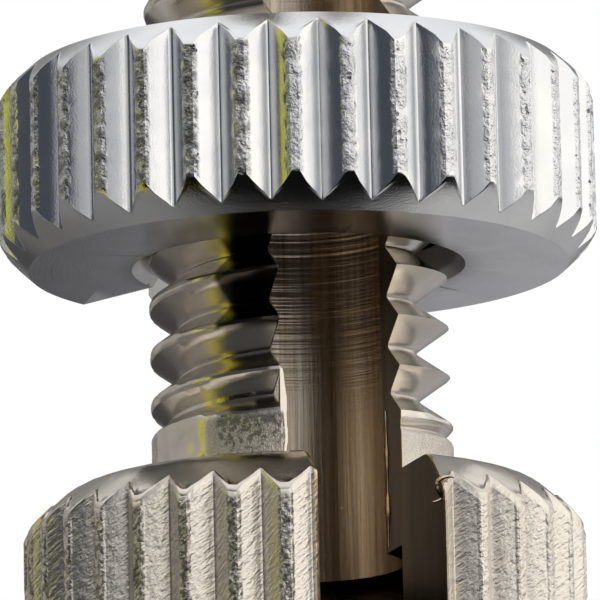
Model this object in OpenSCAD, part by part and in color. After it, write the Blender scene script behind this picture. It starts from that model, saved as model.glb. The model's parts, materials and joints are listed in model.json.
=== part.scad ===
/* [Thread] */
// Outside diameter of the thread
thread_d = 5.95; // [5.5:0.05:6.5]
// Rise of the thread in one turn
pitch = 1; // [0.8:0.05:1.2]
// Length of the threaded shaft above the head
thread_len = 25; // [18:0.5:40]
// Height of the plain collar between the head and the start of the thread
collar_h = 0.34; // [0.2:0.02:1.5]
// Share of a turn over which the thread is cut in to its full depth
runout_turns = 0.9; // [0.4:0.05:1.5]
// Chamfer at the free end of the thread
end_chamfer = 0.5; // [0.2:0.1:0.8]

/* [Cable way] */
// Thickness of metal between the wire bore and the root of the thread
thread_wall = 0.41; // [0.3:0.01:0.8]
// Diameter of the seat for the end of the cable casing
casing_seat_d = 5.7; // [5:0.1:6.5]
// Thickness of metal left between the casing seat and the top of the head
seat_floor = 1.5; // [1:0.1:3]
// Width of the slot that lets the wire in from the side
wire_slot_w = 2.4; // [1.6:0.1:2.6]
// Direction of the wire slot, from the X axis
wire_slot_angle = -90; // [-180:1:180]

/* [Lock nut] */
// Diameter of the lock nut over its ridges
nut_d = 11.84; // [10:0.02:14]
// Height of the lock nut
nut_h = 3.9; // [3:0.1:6]
// Number of grooves round the lock nut
nut_grooves = 36; // [24:1:48]
// Width of the chamfer at both ends of the lock nut
nut_chamfer_w = 0.55; // [0.4:0.05:0.7]
// Height of the chamfer at both ends of the lock nut
nut_chamfer_h = 0.55; // [0.3:0.05:0.8]
// Width of the slot in the lock nut
nut_slot_w = 2.2; // [1.6:0.1:2.6]
// Direction of the lock nut's slot, from the X axis
nut_slot_angle = 116; // [0:1:359]
// Gap between the head and the lock nut as it is set
nut_gap = 4.48; // [1:0.02:12]
// Width of the countersink round each end of the nut's hole
nut_sink_w = 0.275; // [0.2:0.025:0.6]

/* [Head] */
// How far the head's ridges stand in from those of the lock nut
head_inset = 0.395; // [0:0.005:1]
// Length of the knurled head
head_len = 9.1; // [6:0.1:14]
// Number of grooves round the head
head_grooves = 34; // [24:1:44]
// Width of the sloping shoulder at the thread end of the head
shoulder_w = 1.1; // [0.8:0.05:1.5]
// Height of the sloping shoulder
shoulder_h = 1; // [0.5:0.05:1.5]
// Chamfer at the outer end of the head
foot_chamfer = 0.5; // [0.3:0.1:0.8]

/* [Knurl and fits] */
// Depth of the knurled grooves
knurl_depth = 0.4; // [0.25:0.01:0.45]
// Width of the flat on each ridge
ridge_flat = 0.2; // [0.06:0.01:0.3]
// Width of the flat at the bottom of each groove
groove_flat = 0.06; // [0.04:0.01:0.12]
// Clearance all round between the thread and the hole of the nut
thread_clearance = 0.05; // [0.03:0.01:0.1]

/* [Hidden] */
$fn = 96;
overcut = 1;
flank_angle = 30;
turn_steps = 24;
thread_r = thread_d / 2;
thread_depth = 0.615 * pitch;
root_flat = pitch / 6;
root_half = root_flat / 2;
wire_bore_d = thread_d - 2 * (thread_depth + thread_wall);
head_d = nut_d - 2 * head_inset;
screw_len = head_len + thread_len;
thread_z = head_len + collar_h;
shaft_z = head_len - seat_floor / 2;
nut_z = head_len + nut_gap;
seat_depth = head_len - seat_floor;
thread_phase = -49;
head_phase = -4.2;
nut_phase = 2.5;

// Outline of a ring of straight grooves with small flats on the ridges and in the grooves
module knurl_outline(d, grooves, phase) {
    outer_r = d / 2;
    inner_r = outer_r - knurl_depth;
    step = 360 / grooves;
    ridge_angle = asin(ridge_flat / d);
    valley_angle = asin(groove_flat / (2 * inner_r));
    polygon([
        for (i = [0 : grooves - 1])
            for (corner = [
                [inner_r, -valley_angle],
                [inner_r, valley_angle],
                [outer_r, step / 2 - ridge_angle],
                [outer_r, step / 2 + ridge_angle]
            ])
                let (a = phase + i * step + corner[1])
                corner[0] * [cos(a), sin(a)]
    ]);
}

// Turned blank of a knurled part, with a cone cut on each end
module knurled_blank(d, h, grooves, phase, low_w, low_h, high_w, high_h) {
    intersection() {
        linear_extrude(height = h)
            knurl_outline(d, grooves, phase);
        rotate_extrude()
            polygon([
                [0, 0],
                [d / 2 - low_w, 0],
                [d / 2, low_h],
                [d / 2, h - high_h],
                [d / 2 - high_w, h],
                [0, h]
            ]);
    }
}

// Slot from the axis out past the rim, along X
module side_slot(width, reach, height) {
    translate([0, -width / 2, -overcut])
        cube([reach, width, height + 2 * overcut]);
}

// Depth of the thread at a place along the helix, growing to full over the run-out
function depth_at(turn) = thread_depth * max(0, min(1, turn / runout_turns));

// Half of the groove's width at the outside of the thread
function groove_half_at(turn) = root_half + depth_at(turn) * tan(flank_angle);

// One section of the thread over one pitch: the groove's root, its upper flank and the next ridge
function thread_section(turn) =
    let (
        root_r = thread_r - depth_at(turn),
        a = thread_phase + turn * 360,
        z = thread_z + turn * pitch
    )
    [
        for (p = [
            [root_r, -root_half],
            [root_r, root_half],
            [thread_r, groove_half_at(turn)],
            [thread_r, pitch - groove_half_at(turn + 1)]
        ])
            [p[0] * cos(a), p[0] * sin(a), z + p[1]]
    ];

// Threaded rod as one helical band of sections, closed by a fan of triangles at each end
module threaded_rod() {
    first = -(ceil((thread_z - shaft_z) / pitch) + 1) * turn_steps;
    last = (ceil((screw_len - thread_z) / pitch) + 1) * turn_steps;
    count = last - first;
    low = 4 * (count + 1);
    high = low + 1;
    points = [
        for (i = [first : last]) each thread_section(i / turn_steps),
        [0, 0, thread_z + first / turn_steps * pitch],
        [0, 0, thread_z + (last / turn_steps + 1) * pitch]
    ];
    band = [
        for (i = [0 : count - 1])
            for (k = [0 : 2])
                let (a = 4 * i + k)
                each [[a, a + 1, a + 5], [a, a + 5, a + 4]]
    ];
    seam = [
        for (i = [0 : count - turn_steps - 1])
            let (a = 4 * i + 3, b = 4 * (i + turn_steps))
            each [[a, b, b + 4], [a, b + 4, a + 4]]
    ];
    low_edge = [for (i = [0 : turn_steps]) 4 * i, 3, 2, 1];
    high_edge = [
        for (i = [count - turn_steps : count]) 4 * i + 3,
        4 * count + 2, 4 * count + 1, 4 * count
    ];
    sides = len(low_edge);
    low_fan = [for (i = [0 : sides - 1]) [low, low_edge[i], low_edge[(i + 1) % sides]]];
    high_fan = [for (i = [0 : sides - 1]) [high, high_edge[(i + 1) % sides], high_edge[i]]];
    polyhedron(points, concat(band, seam, low_fan, high_fan), convexity = 10);
}

// Threaded shaft, cut square inside the head and chamfered at its free end
module threaded_shaft() {
    intersection() {
        threaded_rod();
        rotate_extrude()
            polygon([
                [0, shaft_z],
                [thread_r + overcut, shaft_z],
                [thread_r + overcut, screw_len - end_chamfer - overcut],
                [thread_r - end_chamfer, screw_len],
                [0, screw_len]
            ]);
    }
}

module adjusting_screw() {
    color("tan")
        rotate([0, 0, wire_slot_angle])
            difference() {
                union() {
                    knurled_blank(head_d, head_len, head_grooves, head_phase,
                        foot_chamfer, foot_chamfer, shoulder_w, shoulder_h);
                    threaded_shaft();
                }
                translate([0, 0, -overcut])
                    cylinder(d = wire_bore_d, h = screw_len + 2 * overcut);
                translate([0, 0, -overcut])
                    cylinder(d = casing_seat_d, h = seat_depth + overcut);
                side_slot(wire_slot_w, head_d, screw_len);
            }
}

module lock_nut() {
    hole_r = thread_r + thread_clearance;
    sink_r = hole_r + nut_sink_w;
    color("silver")
        translate([0, 0, nut_z])
            rotate([0, 0, nut_slot_angle])
                difference() {
                    knurled_blank(nut_d, nut_h, nut_grooves, nut_phase,
                        nut_chamfer_w, nut_chamfer_h, nut_chamfer_w, nut_chamfer_h);
                    rotate_extrude()
                        polygon([
                            [0, -overcut],
                            [sink_r + overcut, -overcut],
                            [hole_r, nut_sink_w],
                            [hole_r, nut_h - nut_sink_w],
                            [sink_r + overcut, nut_h + overcut],
                            [0, nut_h + overcut]
                        ]);
                    side_slot(nut_slot_w, nut_d, nut_h);
                }
}

adjusting_screw();
lock_nut();
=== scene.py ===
"""Looks of a slotted adjusting screw and its lock nut, seen from close by and a little below."""

import json
import math

import bmesh
import bpy
import numpy as np
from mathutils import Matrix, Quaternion, Vector


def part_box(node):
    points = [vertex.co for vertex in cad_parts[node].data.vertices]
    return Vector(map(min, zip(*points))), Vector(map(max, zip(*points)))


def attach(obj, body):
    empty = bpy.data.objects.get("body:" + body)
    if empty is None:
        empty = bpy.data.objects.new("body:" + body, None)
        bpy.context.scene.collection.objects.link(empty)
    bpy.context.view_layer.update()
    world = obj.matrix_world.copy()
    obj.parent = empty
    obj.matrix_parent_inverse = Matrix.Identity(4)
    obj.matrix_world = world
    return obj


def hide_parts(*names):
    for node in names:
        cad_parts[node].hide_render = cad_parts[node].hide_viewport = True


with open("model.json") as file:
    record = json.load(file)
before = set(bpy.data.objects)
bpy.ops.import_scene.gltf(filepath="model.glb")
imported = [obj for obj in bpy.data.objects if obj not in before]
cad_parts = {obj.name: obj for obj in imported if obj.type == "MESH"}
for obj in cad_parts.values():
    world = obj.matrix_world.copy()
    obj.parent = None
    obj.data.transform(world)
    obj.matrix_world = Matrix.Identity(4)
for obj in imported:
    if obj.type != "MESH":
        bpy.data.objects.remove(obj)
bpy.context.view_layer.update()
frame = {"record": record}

MM = 0.001
TURN = 2 * math.pi

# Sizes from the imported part, in millimetres
mount_dims = {mount["name"]: mount["dims"] for mount in frame["record"]["mounts"]}
thread_r = mount_dims["thread"]["r_mm"]
bore_r = mount_dims["wire_bore"]["r_mm"]
seat_r = mount_dims["casing_seat"]["r_mm"]
seat_depth = mount_dims["casing_seat"]["length_mm"]
screw_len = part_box("adjusting_screw")[1].z / MM
nut_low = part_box("lock_nut")[0].z / MM
nut_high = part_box("lock_nut")[1].z / MM

# Sizes of the screw, in millimetres and degrees
head_len = 9.1
head_r = 5.525
head_grooves = 34
head_phase = -4.2
shoulder_radii = (4.3, 4.45, 4.6, 4.75, 5.0, 5.25, 5.45, head_r)
shoulder_drops = (0.0, 0.012, 0.065, 0.16, 0.385, 0.62, 0.85, 1.0)
foot_chamfer = 0.5
seat_chamfer = 0.15
bore_chamfer = 0.12
screw_slot_half = 1.2
screw_slot_angle = -90.0
seat_step = 0.1
head_lip = 0.055

# Thread of the screw
pitch = 1.0
thread_depth = 0.615
thread_start = 9.44
thread_phase = -49.0
runout_turns = 1.4
runout_lift = 0.38
root_round = 0.045
root_shift = 0.08
root_side = 73.6
crest_half = 0.03
end_chamfer = 0.5

# Sizes of the lock nut
nut_r = 5.92
nut_grooves = 36
nut_phase = 2.5
nut_edge_radii = (5.35, 5.5, 5.62, 5.72, 5.8, 5.87, nut_r)
nut_edge_drops = (0.0, 0.135, 0.25, 0.35, 0.44, 0.54, 0.66)
nut_slot_half = 1.1
nut_slot_angle = 116.0
nut_hole_r = 3.03
nut_sink_r = 3.3
nut_thread_gap = 0.06
nut_lip = 0.01

# Form of the knurl
knurl_depth = 0.37
knurl_pitch = TURN * nut_r / nut_grooves
ridge_flat = 0.17
valley_round = 0.025
valley_run = 0.12
valley_dip = 0.03

# Unevenness: depths in millimetres, waves by angle round the axis and by height
groove_depth_spread = 0.012
groove_place_spread = 0.006
coarse_wear = 0.02
coarse_waves = (60, 17)
fine_wear = 0.012
fine_waves = (140, 40)
wear_start = 0.15
calm_rate = 12
crest_wear = 0.02
crest_waves = (26, 9)
crest_band = 0.08
burr_waves = 25
head_seed = 3
burr_seed = 4
crest_seed = 5
nut_seed = 8

# Broken edges along the slots: width, depth as a share of it, and how much of it the right-hand edge has
edge_break = 0.025
head_edge = 0.07
seam_edge = 0.004
edge_lean = 0.45
right_edge_share = 0.4

# Raised metal at the screw's slot, through points given from the slot's side: out, across and up
collar_burr = [(2.66, -1.2, 9.05), (2.66, -1.2, 10.03), (2.66, -1.2, 11.0)]
smeared_section = [(-0.03, -0.06), (0.12, 0.0), (-0.03, 0.07)]
bore_burr = [(1.75, 1.185, 7.7), (1.76, 1.19, 9.0), (1.75, 1.185, 10.4)]
bore_burr_r = 0.04
head_curl = [
    (5.20, 1.46, 8.45),
    (5.22, 1.25, 8.44),
    (5.20, 1.12, 8.30),
    (5.18, 1.20, 8.12),
    (5.17, 1.04, 7.97),
]
head_curl_r = 0.05
burr_tip = 0.1
burr_least = 0.2

# Fineness of the meshes
head_side_rows = 50
nut_side_rows = 30
shank_columns = 121
burr_steps = 25
burr_sides = 8
floor_sides = 64
fitting_rounds = 6
same_point = 1e-5
least_lean = 0.4
merge_gap = 0.0004
sharp_angle = 28


def ripple(u, v, seed, waves=7):
    """Smooth unevenness between about -1 and 1 over two plain coordinates."""
    source = np.random.default_rng(seed)
    total = np.zeros(np.broadcast(u, v).shape)
    for _ in range(waves):
        a, b = source.normal(0, 1, 2)
        total = total + np.sin(a * u + b * v + source.uniform(0, TURN))
    return total / math.sqrt(waves)


def both_sides(shares):
    """Shares of half a groove, on both sides of its middle, with the far end taken once."""
    return sorted({side * share for share in shares[:-1] for side in (-1, 1)} | {shares[-1]})


# Rows of a section: each gives radius and height at the angles that it is asked for

class Row:
    """One line round a piece, from one wall of its slot to the other."""

    def __init__(self, shape, spread=True, inside=0.0, knurl=0.0, edge=edge_break):
        self.shape = shape
        self.spread = spread
        self.inside = inside
        self.knurl = knurl
        self.edge = edge


def ring(radius, height, **how):
    return Row(lambda a: (np.full_like(a, radius), np.full_like(a, height)), **how)


def line_of_points(row, columns, slot_half):
    """Points of a row, kept clear of the slot by the width of its broken edge."""
    right_wall = slot_half + right_edge_share * row.edge
    left_wall = slot_half + row.edge
    share = (columns - columns[0]) / (columns[-1] - columns[0])
    a = columns
    for _ in range(fitting_rounds):
        radius = row.shape(a)[0]
        first = math.asin(min(1.0, right_wall / radius[0]))
        last = TURN - math.asin(min(1.0, left_wall / radius[-1]))
        a = first + share * (last - first) if row.spread else np.clip(columns, first, last)
    radius, height = row.shape(a)
    return np.stack([radius * np.cos(a), radius * np.sin(a), height], axis=1)


def neighbour(loop, i, step):
    """Next point of a closed section, one way or the other, that lies apart from point i."""
    others = (loop[(i + step * k) % len(loop)] for k in range(1, len(loop)))
    return next(other for other in others if np.abs(other - loop[i]).max() > same_point)


def side_normal(step):
    return np.array([-step[1], step[0]]) / np.linalg.norm(step)


def inset(loop, amounts):
    """Points of a closed section moved inwards, each by its own amount."""
    moved = np.array(loop)
    for i, point in enumerate(loop):
        normal_in = side_normal(point - neighbour(loop, i, -1))
        normal_out = side_normal(neighbour(loop, i, 1) - point)
        lean = max(least_lean, 1 + normal_in @ normal_out)
        moved[i] = point - amounts[i] * (normal_in + normal_out) / lean
    return moved


def quads(*corners):
    """Faces with four corners, from an array of vertex numbers for each corner."""
    return np.stack(corners, axis=-1).reshape(-1, 4).tolist()


def swept(rows, columns, slot_half):
    """Vertices, faces and surface values of a section swept round the axis, with the slot's two walls."""
    grid = np.array([line_of_points(row, columns, slot_half) for row in rows])
    row_count, column_count = grid.shape[:2]
    round_count = row_count * column_count
    wall_count = 2 * row_count
    index = np.arange(round_count).reshape(row_count, column_count)
    above = np.roll(index, -1, axis=0)
    faces = quads(index[:, :-1], above[:, :-1], above[:, 1:], index[:, 1:])
    vertices = [grid.reshape(-1, 3)]
    edges = edge_lean * np.array([row.edge for row in rows])
    first_free = round_count
    for column, side, broken in ((0, 1, right_edge_share), (-1, -1, 1.0)):
        section = inset(grid[:, column][:, [0, 2]], broken * edges)
        across = np.full(row_count, side * slot_half)
        vertices.append(np.stack([section[:, 0], across, section[:, 1]], axis=1))
        own = first_free + np.arange(row_count)
        rim = index[:, column]
        faces += quads(rim, np.roll(rim, -1), np.roll(own, -1), own)
        faces.append(own.tolist())
        first_free += row_count

    def over_rows(values):
        return np.concatenate([np.repeat(values, column_count), np.zeros(wall_count)])

    surfaces = {
        "inside": over_rows([row.inside for row in rows]),
        "knurl": over_rows([row.knurl for row in rows]),
        "wall": np.concatenate([np.zeros(round_count), np.ones(wall_count)]),
    }
    return np.concatenate(vertices), faces, surfaces


def add_object(name, data):
    made = bpy.data.objects.new(name, data)
    bpy.context.scene.collection.objects.link(made)
    return made


def make_piece(name, parts, angle, material):
    """One object from swept parts, turned to where its slot points."""
    mesh = bpy.data.meshes.new(name)
    vertices = np.concatenate([part[0] for part in parts])
    faces = []
    offset = 0
    for part in parts:
        faces += [[offset + i for i in face] for face in part[1]]
        offset += len(part[0])
    turn = math.radians(angle)
    turned = vertices @ np.array([
        [math.cos(turn), math.sin(turn), 0],
        [-math.sin(turn), math.cos(turn), 0],
        [0, 0, 1],
    ])
    mesh.from_pydata((turned * MM).tolist(), [], faces)
    for surface in ("inside", "knurl", "wall"):
        values = np.concatenate([part[2][surface] for part in parts])
        mesh.attributes.new(surface, "FLOAT", "POINT").data.foreach_set("value", values.astype(np.float32))
    work = bmesh.new()
    work.from_mesh(mesh)
    bmesh.ops.remove_doubles(work, verts=work.verts, dist=merge_gap * MM)
    bmesh.ops.dissolve_degenerate(work, edges=work.edges, dist=merge_gap * MM)
    bmesh.ops.recalc_face_normals(work, faces=work.faces)
    work.to_mesh(mesh)
    work.free()
    mesh.shade_smooth()
    mesh.set_sharp_from_angle(angle=math.radians(sharp_angle))
    mesh.materials.append(material)
    return add_object(name, mesh)


# Knurl

flank_run = (knurl_pitch - ridge_flat) / 2
flank_slope = (knurl_depth - valley_dip) / (math.hypot(flank_run, valley_round) - valley_round)
dip_run = math.hypot(valley_run, valley_round) - valley_round
groove_shares = (0, 0.05, 0.12, 2 * valley_run / knurl_pitch, 0.4, 0.6, 2 * flank_run / knurl_pitch, 1)


def knurl_columns(grooves, phase):
    """Angles that follow the form of every groove, ridge by ridge, once round the piece."""
    half = math.pi / grooves
    places = [2 * i + share for i in range(grooves) for share in both_sides(groove_shares)]
    return np.array(sorted((math.radians(phase) + half * place) % TURN for place in places))


def knurl_form(outer_r, grooves, phase, seed):
    """Radius of a knurled surface at an angle and a height."""
    step = TURN / grooves
    source = np.random.default_rng(seed)
    depth_change = source.normal(0, groove_depth_spread, grooves)
    lean = source.normal(0, groove_place_spread, grooves)

    def radius(a, height):
        place = (a - math.radians(phase)) / step
        groove = np.round(place).astype(int) % grooves
        coarse = coarse_wear * ripple(coarse_waves[0] * a, coarse_waves[1] * height, seed)
        fine = fine_wear * ripple(fine_waves[0] * a, fine_waves[1] * height, seed + 1)
        ragged = coarse + fine
        run = np.abs((place - np.round(place)) * step * outer_r + lean[groove])
        rounded = np.hypot(run, valley_round) - valley_round
        rise = flank_slope * rounded + valley_dip * np.minimum(1, rounded / dip_run)
        valley = outer_r - knurl_depth + depth_change[groove]
        flank = valley + rise + ragged * np.clip(run - wear_start, 0, 1)
        return np.minimum(outer_r - np.maximum(0, ragged), flank)

    return radius


cone_shares = (0, 0.18, 0.36, 0.54, 0.7, 0.82, 0.9, 0.945, 0.98, 1)
lip_shares = (0, 0, 0, 0, 0, 0, 0.1, 0.8, 1, 0.6)


def knurled_rows(form, top_line, low_line, lip, side_rows, edge):
    """Rows down a knurled side, from the inner rim of its top cone to that of its lower one."""
    middle = (top_line[1][-1] + low_line[1][-1]) / 2
    rim_lip = lip_shares[-1] * lip

    def cone(line, share, raised):
        def shape(a):
            radius = line[0][0] + share * (form(a, middle) - line[0][0])
            return radius, np.interp(radius, line[0], line[1]) + raised
        return Row(shape, spread=False, edge=edge)

    def side(share):
        def shape(a):
            start = form(a, middle)
            top = np.interp(start, top_line[0], top_line[1]) + rim_lip
            low = np.interp(start, low_line[0], low_line[1]) - rim_lip
            height = top + share * (low - top)
            calm = min(1.0, calm_rate * share * (1 - share))
            return start + calm * (form(a, height) - start), height
        return Row(shape, spread=False, knurl=1.0, edge=edge)

    lips = list(zip(cone_shares, lip_shares))
    rows = [cone(top_line, share, lip * raised) for share, raised in lips]
    rows += [side(share) for share in np.linspace(0, 1, side_rows + 1)[1:-1]]
    rows += [cone(low_line, share, -lip * raised) for share, raised in lips[::-1]]
    return rows


# Thread

thread_slope = thread_depth / (math.hypot(pitch / 2 - crest_half, root_round) - root_round)


def thread_radius(a, height, slot_angle, cut_in=True):
    """Radius of the right-hand thread at an angle from a slot that points to slot_angle."""
    turned = a + math.radians(slot_angle - screw_slot_angle)
    turns = (turned - math.radians(thread_phase)) / TURN
    nearest = np.floor((height - thread_start) / pitch - turns)
    radius = np.full_like(height, thread_r)
    for k in (-1, 0, 1):
        along = nearest + k + turns
        cut = np.clip(along / runout_turns, 0, 1) if cut_in else np.ones_like(along)
        run = height - thread_start - along * pitch - runout_lift * (1 - cut)
        rise = thread_slope * (np.hypot(run, root_round) - root_round)
        depth = cut * (thread_depth + root_shift * np.cos(turned - math.radians(root_side)))
        radius = np.minimum(radius, thread_r - depth + rise)
    return radius


thread_shares = (0, 0.035, 0.08, 0.16, 0.28, 0.4, 0.5 - crest_half, 0.5)


def thread_rows(slot_angle, low, high, radius_at, downwards, inside=0.0):
    """Rows that climb along the thread between two heights."""
    turned = (slot_angle - screw_slot_angle - thread_phase) / 360
    first = math.floor((low - thread_start) / pitch - turned) - 2
    last = math.ceil((high - thread_start) / pitch - turned) + 1
    places = [turn + turned + share for turn in range(first, last) for share in both_sides(thread_shares)]

    def climb(start):
        def shape(a):
            z = np.clip(start + a / TURN * pitch, low, high)
            return radius_at(a, z), z
        return Row(shape, inside=inside)

    rows = [climb(thread_start + place * pitch) for place in places]
    return rows[::-1] if downwards else rows


# Screw

def head_part():
    form = knurl_form(head_r, head_grooves, head_phase, head_seed)
    shoulder_line = (np.array(shoulder_radii), head_len - np.array(shoulder_drops))
    foot_line = (np.array([head_r - foot_chamfer, head_r]), np.array([0.0, foot_chamfer]))
    rows = [
        ring(seat_r + seat_chamfer, 0.0, inside=0.5),
        ring(seat_r, seat_chamfer, inside=1.0),
        ring(seat_r, seat_depth, inside=1.0),
        ring(bore_r, seat_depth, inside=1.0),
        ring(bore_r, head_len - seat_step, inside=1.0, edge=seam_edge),
        ring(thread_r, head_len - seat_step, inside=1.0, edge=seam_edge),
        ring(thread_r, head_len, edge=seam_edge),
        ring((thread_r + shoulder_radii[0]) / 2, head_len),
    ]
    rows += knurled_rows(form, shoulder_line, foot_line, head_lip, head_side_rows, head_edge)
    return swept(rows, knurl_columns(head_grooves, head_phase), screw_slot_half)


def shank_part():
    def radius_at(a, z):
        end = thread_r - end_chamfer + np.maximum(0, screw_len - z)
        wear = crest_wear * np.maximum(0, ripple(crest_waves[0] * a, crest_waves[1] * z, crest_seed))
        thread = thread_radius(a, z, screw_slot_angle)
        crest = np.clip((thread - thread_r + crest_band) / crest_band, 0, 1)
        return np.minimum(thread - crest * wear, end)

    low = head_len - seat_step
    rows = [
        ring(bore_r, low, inside=1.0, edge=seam_edge),
        ring(bore_r, screw_len - bore_chamfer, inside=1.0),
        ring(bore_r + bore_chamfer, screw_len, inside=0.5),
    ]
    rows += thread_rows(screw_slot_angle, low, screw_len, radius_at, True)
    return swept(rows, np.linspace(0, TURN, shank_columns), screw_slot_half)


def curve_through(points, share):
    """Places along the smooth curve through a few points, by share of the way."""
    known = np.linspace(0, 1, len(points))
    fits = [np.polyfit(known, values, len(points) - 1) for values in np.array(points).T]
    return np.stack([np.polyval(fit, share) for fit in fits], axis=1)


def unit(vectors):
    return vectors / np.linalg.norm(vectors, axis=1)[:, None]


def burr(points, section, uneven, brass):
    """Thin line of raised metal through a few points, thinner at both ends."""
    share = np.linspace(0, 1, burr_steps)
    line = curve_through(points, share)
    ahead = unit(np.gradient(line, axis=0))
    first = unit(np.cross(ahead, [1.0, 0.0, 0.0]))
    second = np.cross(ahead, first)
    taper = np.sqrt(burr_tip + (1 - burr_tip) * np.sin(math.pi * share))
    width = taper * np.maximum(burr_least, 1 + uneven * ripple(share * burr_waves, 0, burr_seed))
    rings = [point + size * (np.outer(section[:, 0], a) + np.outer(section[:, 1], b))
             for point, size, a, b in zip(line, width, first, second)]
    vertices = np.concatenate(rings)
    index = np.arange(len(vertices)).reshape(burr_steps, len(section))
    beside = np.roll(index, -1, axis=1)
    faces = quads(index[:-1], beside[:-1], beside[1:], index[1:])
    faces += [index[0].tolist(), index[-1][::-1].tolist()]
    none = np.zeros(len(vertices))
    return vertices, faces, {"inside": none, "knurl": none, "wall": none + brass}


def screw_burrs():
    """Metal pushed over the slot's edge at the collar, a line along the bore and a curl at the head."""
    turns = TURN * np.arange(burr_sides) / burr_sides
    round_section = np.stack([np.cos(turns), np.sin(turns)], axis=1)
    return [
        burr(collar_burr, np.array(smeared_section), uneven=0.1, brass=0.0),
        burr(bore_burr, bore_burr_r * round_section, uneven=0.7, brass=0.5),
        burr(head_curl, head_curl_r * round_section, uneven=0.2, brass=0.2),
    ]


# Lock nut

def nut_part():
    form = knurl_form(nut_r, nut_grooves, nut_phase, nut_seed)
    sink = nut_sink_r - nut_hole_r

    def radius_at(a, z):
        thread = thread_radius(a, z, nut_slot_angle, cut_in=False) + nut_thread_gap
        flare = np.maximum(nut_low + sink - z, z - nut_high + sink)
        return np.maximum(np.minimum(thread, nut_hole_r), nut_hole_r + flare)

    edge_radii = np.array(nut_edge_radii)
    top_line = (edge_radii, nut_high - np.array(nut_edge_drops))
    low_line = (edge_radii, nut_low + np.array(nut_edge_drops))
    face_r = (nut_sink_r + edge_radii[0]) / 2
    rows = thread_rows(nut_slot_angle, nut_low, nut_high, radius_at, False, inside=1.0)
    rows += [ring(face_r, nut_high)]
    rows += knurled_rows(form, top_line, low_line, nut_lip, nut_side_rows, edge_break)
    rows += [ring(face_r, nut_low)]
    return swept(rows, knurl_columns(nut_grooves, nut_phase), nut_slot_half)


# Shader graphs

# Numbers of a Mix node's colour sockets, because several of its sockets have the same name
mix_low = 6
mix_high = 7
mix_result = 2


class Wire:
    """One output in a shader graph, used in plain arithmetic."""

    def __init__(self, tree, socket=None):
        self.tree = tree
        self.socket = socket

    def node(self, kind, settings, inputs, output=0):
        made = self.tree.nodes.new(kind)
        for name, value in settings.items():
            setattr(made, name, value)
        for name, value in inputs.items():
            if isinstance(value, Wire):
                self.tree.links.new(value.socket, made.inputs[name])
            else:
                made.inputs[name].default_value = value
        return Wire(self.tree, made.outputs[output] if made.outputs else None)

    def math(self, operation, *values):
        return self.node("ShaderNodeMath", {"operation": operation}, dict(enumerate(values)))

    def __add__(self, other):
        return self.math("ADD", self, other)

    __radd__ = __add__

    def __sub__(self, other):
        return self.math("SUBTRACT", self, other)

    def __rsub__(self, other):
        return self.math("SUBTRACT", other, self)

    def __mul__(self, other):
        return self.math("MULTIPLY", self, other)

    __rmul__ = __mul__

    def __truediv__(self, other):
        return self.math("DIVIDE", self, other)

    def smooth(self, low, high):
        """Soft step from 0 at the low value to 1 at the high one."""
        settings = {"interpolation_type": "SMOOTHSTEP"}
        return self.node("ShaderNodeMapRange", settings, {"Value": self, "From Min": low, "From Max": high})

    def band(self, start, end):
        """Soft step up over the first span and down again over the second."""
        return self.smooth(*start) * (1 - self.smooth(*end))

    def mix(self, low, high):
        """Colour between two colours, by this value."""
        inputs = {"Factor": self, mix_low: low, mix_high: high}
        return self.node("ShaderNodeMix", {"data_type": "RGBA"}, inputs, mix_result)

    def parts(self):
        """The three numbers of this vector."""
        made = self.node("ShaderNodeSeparateXYZ", {}, {0: self}).socket.node
        return [Wire(self.tree, output) for output in made.outputs]


def empty_graph(owner):
    """Cleared shader graph of a material or a world."""
    owner.use_nodes = True
    owner.node_tree.nodes.clear()
    return Wire(owner.node_tree)


def new_material(name):
    material = bpy.data.materials.new(name)
    return material, empty_graph(material)


def finish_material(graph, shader):
    graph.node("ShaderNodeOutputMaterial", {}, {"Surface": shader})


def part_coordinates(graph):
    """Place on the part in millimetres: the point, its angle round the axis, its radius and its height."""
    place = graph.node("ShaderNodeTexCoord", {}, {}, "Object")
    place = graph.node("ShaderNodeVectorMath", {"operation": "SCALE"}, {0: place, "Scale": 1 / MM})
    x, y, z = place.parts()
    return place, graph.math("ARCTAN2", y, x), graph.math("SQRT", x * x + y * y), z


def noise(graph, place, scale=1.0, detail=3.0, roughness=0.55):
    inputs = {"Vector": place, "Scale": scale, "Detail": detail, "Roughness": roughness}
    return graph.node("ShaderNodeTexNoise", {}, inputs)


def streaks(graph, across, along, **how):
    """Noise over two coordinates, long where the second one changes slowly."""
    return noise(graph, graph.node("ShaderNodeCombineXYZ", {}, {"X": across, "Y": along}), **how)


def lines(graph, along, scale, detail=2.0):
    """Fine uneven lines across one coordinate."""
    inputs = {"W": along, "Scale": scale, "Detail": detail}
    return graph.node("ShaderNodeTexNoise", {"noise_dimensions": "1D"}, inputs)


def surface_value(graph, name):
    return graph.node("ShaderNodeAttribute", {"attribute_name": name}, {}, "Fac")


def rgba(*colour):
    return (*colour, 1.0)


def left_painted_shade(angle, ridge, speckle, reach):
    """Painted shade in speckled patches on the flats of the ridges, on the side that faces away from +X,
    standing in for the dark surroundings they mirror.
    """
    return ridge * speckle.smooth(0.42, 0.58) * (1 - angle.math("COSINE", angle).smooth(*reach))


def metal(graph, colour, rough, height_map, depth):
    """Bare metal with a fine relief of the given depth in millimetres."""
    bump = graph.node("ShaderNodeBump", {}, {"Strength": 1.0, "Distance": depth * MM, "Height": height_map})
    return graph.node("ShaderNodeBsdfPrincipled", {}, {
        "Base Color": colour, "Metallic": 1.0, "Roughness": rough, "Normal": bump,
    })
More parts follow.
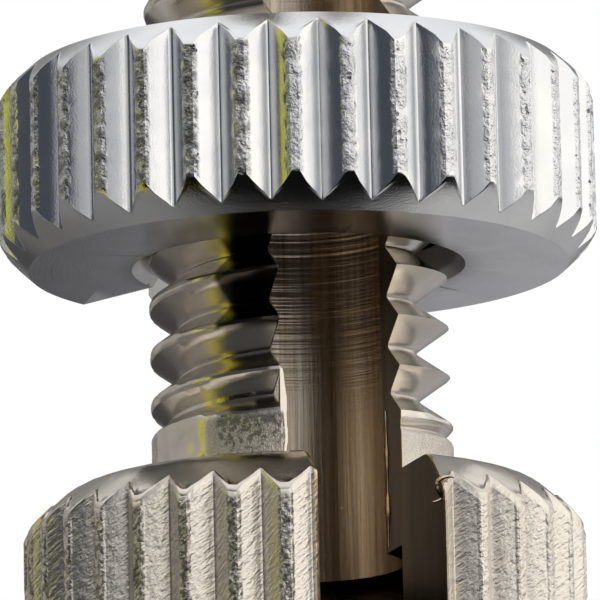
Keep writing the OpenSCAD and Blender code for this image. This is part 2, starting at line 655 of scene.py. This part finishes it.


# Finish of the screw, with the places of its marks: angles in radians, heights in millimetres,
# and the reach of the painted shade on the ridges by the cosine of the angle
plate_dull = rgba(0.76, 0.70, 0.62)
plate_bright = rgba(0.86, 0.80, 0.71)
knurl_plate = rgba(0.94, 0.88, 0.79)
plate_painted_shade = rgba(0.15, 0.14, 0.12)
plate_under_nut_shade = rgba(0.09, 0.08, 0.07)
collar_mottle_dark = rgba(0.2, 0.19, 0.17)
bore_dark = rgba(0.40, 0.32, 0.23)
bore_bright = rgba(0.76, 0.66, 0.54)
seat_painted_shade = rgba(0.07, 0.05, 0.035)
cut_shaded_dark = rgba(0.10, 0.08, 0.06)
cut_shaded_bright = rgba(0.22, 0.175, 0.13)
bare_brass = rgba(0.88, 0.60, 0.30)
plate_relief = 0.04
head_shade_reach = (-0.4, 0.1)
collar_start = (-2.56, -2.5)
collar_top = (head_len + 0.95, head_len + 1.1)
front_left_start = (-2.48, -2.42)
front_left_end = (-1.9, -1.8)
under_nut_shade_low = (11.8, 11.95)
under_nut_shade_high = (nut_low, nut_low + 0.3)
brass_top = (head_len + 0.9, head_len + 1.4)
bore_ring_rise = (10.6, 12.8)


def collar_mask(angle, radius, height):
    """Plain collar between the head and the first full turn of the thread."""
    on_collar = radius.band((thread_r - 0.07, thread_r - 0.03), (thread_r + 0.02, thread_r + 0.1))
    return on_collar * (1 - height.smooth(*collar_top)) * angle.smooth(*collar_start)


def nickel_material():
    material, graph = new_material("nickel_plate")
    place, angle, radius, height = part_coordinates(graph)
    inside = surface_value(graph, "inside")
    knurl = surface_value(graph, "knurl")
    wall = surface_value(graph, "wall")

    # Grain of the plate, rolled, drawn and turned
    cloud = noise(graph, place, scale=1.3)
    speckle = noise(graph, place, scale=9.0, roughness=0.6)
    grain = noise(graph, place, scale=24.0, roughness=0.6)
    arc = angle * head_r
    rolled = streaks(graph, (arc + height) * 3.2, (height - arc) * 10.0, detail=2.0, roughness=0.6)
    drawn = streaks(graph, angle * 8.0, height * 0.08, detail=6.0, roughness=0.72)
    turned = lines(graph, height + radius * 0.9, scale=11.0, detail=3.0)
    rings = lines(graph, height, scale=9.0) * (0.04 + 0.34 * height.smooth(*bore_ring_rise))

    # Places that have a look of their own
    ridge = knurl * radius.smooth(head_r - 0.07, head_r - 0.03)
    collar = collar_mask(angle, radius, height) * (1 - inside) * (1 - wall)
    shaded_seat = inside * radius.smooth(bore_r + 0.1, bore_r + 0.4)
    front_left_band = angle.band(front_left_start, front_left_end)
    # Painted shade on the front-left of the shank, just under the nut
    shaded_under_nut = front_left_band * height.band(under_nut_shade_low, under_nut_shade_high)
    mottled = front_left_band * collar * (speckle + (height - head_len) * 0.3).smooth(0.62, 0.78)
    slot_edge = wall * (1 - wall) * 4 * (1 - height.smooth(*brass_top))
    worn = (slot_edge + (speckle - 0.5) * 0.8).smooth(0.5, 0.75)

    plate = cloud.smooth(0.35, 0.7).mix(plate_dull, plate_bright)
    plate = (knurl * 0.7).mix(plate, knurl_plate)
    # Painted shade: ridge flats on the side away from +X darkened in speckled patches
    plate = (left_painted_shade(angle, ridge, speckle, head_shade_reach) * 0.8).mix(plate, plate_painted_shade)
    # Painted shade under the nut
    plate = shaded_under_nut.mix(plate, plate_under_nut_shade)
    # Dark mottling on the front-left of the collar, more of it towards the top
    plate = (mottled * 0.8).mix(plate, collar_mottle_dark)
    # Painted shade: inside surfaces wider than the bore, the casing seat and its step, coloured almost
    # black
    bore = shaded_seat.mix(drawn.smooth(0.34, 0.66).mix(bore_dark, bore_bright), seat_painted_shade)
    # Slot walls: streaked cut metal, coloured much darker as painted shade inside the slots
    cut = drawn.smooth(0.3, 0.7).mix(cut_shaded_dark, cut_shaded_bright)
    colour = worn.mix(inside.smooth(0.5, 0.95).mix(plate, bore), bare_brass)
    colour = wall.smooth(0.75, 0.98).mix(colour, cut)

    rough = 0.13 + 0.1 * grain + 0.15 * knurl + 0.07 * inside + 0.08 * collar + 0.15 * wall
    relief = knurl * (rolled * 0.75 + speckle * 0.4) + ridge * speckle * 0.8 + collar * grain * 0.7
    relief = relief + inside * (drawn * 0.22 + rings)
    relief = relief + (1 - knurl) * turned * 0.02 + grain * 0.05
    finish_material(graph, metal(graph, colour, rough, relief, plate_relief))
    return material


# Finish of the lock nut, with the reach of the painted shade on its ridges by the cosine of the angle
aluminium_dull = rgba(0.84, 0.85, 0.87)
aluminium_bright = rgba(0.92, 0.92, 0.92)
aluminium_painted_shade = rgba(0.17, 0.17, 0.16)
pit_painted_shade = rgba(0.22, 0.22, 0.23)
hole_painted_shade = rgba(0.30, 0.28, 0.25)
aluminium_relief = 0.045
nut_shade_reach = (-0.5, -0.2)


def aluminium_material():
    material, graph = new_material("bright_aluminium")
    place, angle, radius, height = part_coordinates(graph)
    inside = surface_value(graph, "inside")
    knurl = surface_value(graph, "knurl")

    cloud = noise(graph, place, scale=0.9)
    speckle = noise(graph, place, scale=5.0, detail=4.0, roughness=0.65)
    grain = noise(graph, place, scale=26.0, roughness=0.6)
    turned = lines(graph, radius + height * 0.8, scale=12.0, detail=3.0)

    ridge = knurl * radius.smooth(nut_r - 0.08, nut_r - 0.035)
    # Pits in the ridges: dents in the relief, with painted shade in them
    pits = noise(graph, place, scale=4.5, roughness=0.6).smooth(0.65, 0.71) * ridge
    # Painted shade in the nut's threaded hole, less of it on the outer part of the countersinks
    shaded_hole = inside * (1 - 0.4 * radius.smooth(nut_hole_r + 0.03, nut_hole_r + 0.12))

    bright = cloud.smooth(0.35, 0.7).mix(aluminium_dull, aluminium_bright)
    # Painted shade: ridge flats on the side away from +X darkened in speckled patches
    bright = (left_painted_shade(angle, ridge, speckle, nut_shade_reach) * 0.75).mix(bright, aluminium_painted_shade)
    colour = shaded_hole.smooth(0.3, 0.9).mix(pits.mix(bright, pit_painted_shade), hole_painted_shade)

    rough = 0.11 + 0.1 * grain + 0.12 * ridge + 0.15 * shaded_hole
    relief = ridge * ((speckle - 0.5) * 1.6 - pits) + (1 - knurl) * turned * 0.015 + grain * 0.07
    finish_material(graph, metal(graph, colour, rough, relief, aluminium_relief))
    return material


# The two pieces

screw_parts = [head_part(), shank_part(), *screw_burrs()]
screw = make_piece("turned_screw", screw_parts, screw_slot_angle, nickel_material())
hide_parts("adjusting_screw")
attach(screw, "screw")

nut = make_piece("turned_lock_nut", [nut_part()], nut_slot_angle, aluminium_material())
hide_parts("lock_nut")
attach(nut, "nut")


# Floor, seen from above only

floor_r = 80
floor_fade = (45.0, 75.0)
floor_colour = rgba(0.86, 0.86, 0.85)


def floor_material():
    material, graph = new_material("pale_floor")
    radius = part_coordinates(graph)[2]
    below = graph.node("ShaderNodeNewGeometry", {}, {}, "Backfacing")
    hidden = graph.math("MAXIMUM", below, radius.smooth(*floor_fade))
    pale = graph.node("ShaderNodeBsdfDiffuse", {}, {"Color": floor_colour})
    clear = graph.node("ShaderNodeBsdfTransparent", {}, {})
    finish_material(graph, graph.node("ShaderNodeMixShader", {}, {0: hidden, 1: pale, 2: clear}))
    return material


def add_floor():
    mesh = bpy.data.meshes.new("floor")
    turns = [TURN * i / floor_sides for i in range(floor_sides)]
    corners = [(floor_r * MM * math.cos(turn), floor_r * MM * math.sin(turn), 0) for turn in turns]
    mesh.from_pydata(corners, [], [list(range(floor_sides))])
    mesh.materials.append(floor_material())
    floor = add_object("floor", mesh)
    floor.visible_glossy = False


add_floor()


# Camera: angles in degrees, distance, aim and lens in millimetres

camera_azimuth = -16.4
camera_elevation = -11.7
camera_roll = -1.3
camera_distance = 158.1
camera_aim = 12.93
camera_side = 0.012
camera_lens = 480.0


def add_camera():
    azimuth = math.radians(camera_azimuth)
    elevation = math.radians(camera_elevation)
    back = Vector((
        math.sin(azimuth) * math.cos(elevation),
        -math.cos(azimuth) * math.cos(elevation),
        math.sin(elevation),
    ))
    right = Vector((math.cos(azimuth), math.sin(azimuth), 0))
    data = bpy.data.cameras.new("photo_view")
    data.lens = camera_lens
    data.clip_start = MM
    camera = add_object("photo_view", data)
    camera.location = (Vector((0, 0, camera_aim)) + right * camera_side + back * camera_distance) * MM
    roll = Quaternion((0, 0, 1), math.radians(camera_roll))
    camera.rotation_mode = "QUATERNION"
    camera.rotation_quaternion = back.to_track_quat("Z", "Y") @ roll
    bpy.context.scene.camera = camera


add_camera()


# Studio light: soft panels round the part, one over the other, by the angle to the right of the camera
# and the height above the horizon, in degrees

panels = [
    {"side": -124, "half": 46, "soft": 4, "low": -70, "high": 50, "colour": (0.14, 0.135, 0.13)},
    {"side": -100, "half": 24, "soft": 6, "low": -70, "high": 0, "colour": (0.20, 0.197, 0.194)},
    {"side": -124, "half": 46, "soft": 4, "low": 0, "high": 50, "colour": (0.37, 0.365, 0.36)},
    {"side": 180, "half": 28, "soft": 14, "low": 2, "high": 60, "colour": (0.24, 0.24, 0.237)},
    {"side": 180, "half": 30, "soft": 8, "low": -50, "high": 2, "colour": (0.060, 0.058, 0.060)},
    {"side": 130, "half": 48, "soft": 6, "low": -70, "high": -10, "colour": (0.36, 0.355, 0.35)},
    {"side": 116, "half": 24, "soft": 8, "low": -70, "high": -20, "colour": (0.47, 0.465, 0.46)},
    {"side": 162, "half": 18, "soft": 5, "low": -20, "high": 2, "colour": (0.38, 0.375, 0.39)},
    {"side": 122, "half": 34, "soft": 10, "low": 2, "high": 60, "colour": (0.80, 0.79, 0.78)},
    {"side": 62, "half": 48, "soft": 8, "low": -8, "high": 50, "colour": (1.12, 1.095, 1.05)},
    {"side": -71, "half": 3, "soft": 1.5, "low": -50, "high": 0, "colour": (0.75, 0.72, 0.02)},
    {"side": -83, "half": 4.5, "soft": 1.5, "low": 0, "high": 50, "colour": (0.60, 0.60, 0.05)},
    {"side": -8, "half": 12, "soft": 8, "low": 1, "high": 40, "colour": (0.42, 0.42, 0.425)},
    {"side": 9, "half": 8, "soft": 8, "low": 0, "high": 36, "colour": (0.55, 0.55, 0.56)},
]
panel_edge = math.sin(math.radians(8))
floor_shade = rgba(0.004, 0.004, 0.004)
wall_shade = rgba(0.060, 0.064, 0.080)
wall_rise = (-0.25, 0.05)
ceiling_colour = rgba(0.90, 0.90, 0.91)
ceiling_rise = (0.5, 0.85)
white = rgba(1.0, 1.0, 1.0)


def panel_mask(panel, level_x, level_y, z):
    """How far a direction lies on a panel, from 0 to 1."""
    facing = math.radians(panel["side"] + camera_azimuth - 90)
    across = level_x * math.cos(facing) + level_y * math.sin(facing)
    near = math.cos(math.radians(panel["half"] - panel["soft"] / 2))
    far = math.cos(math.radians(panel["half"] + panel["soft"] / 2))
    low = math.sin(math.radians(panel["low"]))
    high = math.sin(math.radians(panel["high"]))
    upright = z.band((low - panel_edge, low + panel_edge), (high - panel_edge, high + panel_edge))
    return across.smooth(far, near) * upright


def add_world():
    """Panels that light the part and show in its metal, with plain white for the camera."""
    world = bpy.data.worlds.new("studio")
    bpy.context.scene.world = world
    graph = empty_graph(world)
    direction = graph.node("ShaderNodeTexCoord", {}, {}, "Generated")
    direction = graph.node("ShaderNodeVectorMath", {"operation": "NORMALIZE"}, {0: direction})
    x, y, z = direction.parts()
    level = graph.math("SQRT", x * x + y * y)
    level_x = x / level
    level_y = y / level
    light = z.smooth(*wall_rise).mix(floor_shade, wall_shade)
    for panel in panels:
        light = panel_mask(panel, level_x, level_y, z).mix(light, rgba(*panel["colour"]))
    light = z.smooth(*ceiling_rise).mix(light, ceiling_colour)
    seen = graph.node("ShaderNodeLightPath", {}, {}, "Is Camera Ray")
    background = graph.node("ShaderNodeBackground", {}, {"Color": seen.mix(light, white)})
    graph.node("ShaderNodeOutputWorld", {}, {"Surface": background})


lamp_place = Vector((70, -60, 110))
lamp_aim = Vector((0, 0, 15))
lamp_size = 60
lamp_watts = 0.02


def add_soft_light():
    """Broad lamp from high on the right; the metal mirrors the panels and not the lamp."""
    data = bpy.data.lights.new("soft_light", "AREA")
    data.shape = "DISK"
    data.size = lamp_size * MM
    data.energy = lamp_watts
    lamp = add_object("soft_light", data)
    lamp.location = lamp_place * MM
    lamp.rotation_mode = "QUATERNION"
    lamp.rotation_quaternion = (lamp_place - lamp_aim).to_track_quat("Z", "Y")
    lamp.visible_camera = False
    lamp.visible_glossy = False


add_world()
add_soft_light()
bpy.context.scene.view_settings.view_transform = "Standard"
